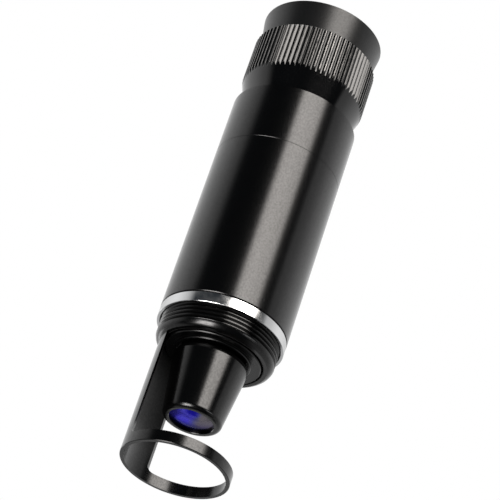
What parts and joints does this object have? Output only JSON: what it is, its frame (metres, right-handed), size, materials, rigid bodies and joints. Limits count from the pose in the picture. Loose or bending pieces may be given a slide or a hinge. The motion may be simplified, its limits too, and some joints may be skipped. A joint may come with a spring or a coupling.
{
  "type": "viewing loupe",
  "caption": "Tubular film-viewing loupe: a black barrel with a conical objective over a cut-away foot ring, a threaded stand-off with a lock ring, a knurled focus ring and a flared eyecup.",
  "frame": {"origin": "centre of the foot ring's bottom face, which lies on the film", "axes": "+Z is the optical axis towards the eye; +Y points to the strip that carries the foot ring, so the open side faces -Y; +X completes a right-handed frame"},
  "size_m": [0.036, 0.036, 0.1464],
  "materials": {
    "satin_black": "fine-blasted aluminium, black anodised, satin",
    "turned_black": "black anodised over concentric turning marks",
    "knurled_black": "black anodised, straight knurl",
    "bright_chrome": "turned and polished bright ring",
    "matt_black": "matt black anti-reflection finish",
    "coated_glass": "polished glass with a blue-violet coating",
    "clear_glass": "polished glass",
    "eye_glass": "polished glass with a faint coating",
    "brass": "turned brass",
    "spring_steel": "bright steel",
    "rubber": "black nitrile rubber",
    "cup_black": "black anodised, smooth satin"
  },
  "bodies": {
    "barrel": {"lower_barrel": "satin_black", "upper_barrel": "satin_black", "objective_carrier": "turned_black", "carrier_nut": "matt_black", "nose_cone": "satin_black", "objective_crown": "coated_glass", "objective_flint": "clear_glass", "objective_spacer": "matt_black", "objective_rear_lens": "clear_glass", "objective_retainer": "brass", "aperture_stop": "matt_black", "backlash_spring": "spring_steel", "baffle_lower": "matt_black", "baffle_upper": "matt_black", "ring_retainer": "brass", "focus_o_ring": "rubber", "key_screw": "spring_steel"},
    "washer": {"thrust_washer": "brass"},
    "stand_off": {"stand_off": "satin_black"},
    "lock_ring": {"lock_ring": "bright_chrome"},
    "focus_ring": {"focus_ring": "knurled_black", "focus_nut": "brass"},
    "eyepiece": {"eyepiece_tube": "turned_black", "field_stop": "matt_black", "field_spacer": "matt_black", "field_lens": "clear_glass", "eyepiece_spacer": "matt_black", "eye_lens": "eye_glass", "eye_lens_retainer": "matt_black", "eyecup": "cup_black"}
  },
  "joints": [
    {"name": "focus_turn", "type": "hinge", "parent": "barrel", "child": "focus_ring", "pos_m": [0, 0, 0.125], "axis": [0, 0, -1], "range_deg": [0, 240]},
    {"name": "eyepiece_travel", "type": "slide", "parent": "barrel", "child": "eyepiece", "axis": [0, 0, 1], "range_m": [0, 0.004]},
    {"name": "stand_off_travel", "type": "slide", "parent": "barrel", "child": "washer", "axis": [0, 0, 1], "range_m": [-0.0025, 0.00375], "deforming": ["backlash_spring"]},
    {"name": "stand_off_turn", "type": "hinge", "parent": "washer", "child": "stand_off", "pos_m": [0, 0, 0.0435], "axis": [0, 0, 1], "range_deg": [-720, 1080]},
    {"name": "lock_ring_turn", "type": "hinge", "parent": "barrel", "child": "lock_ring", "pos_m": [0, 0, 0.0435], "axis": [0, 0, -1], "range_deg": [0, 90]}
  ],
  "couplings": [
    {"joint": "eyepiece_travel", "follows": "focus_turn", "m_per_rad": 0.000954},
    {"joint": "stand_off_travel", "follows": "stand_off_turn", "m_per_rad": 0.0001989}
  ]
}
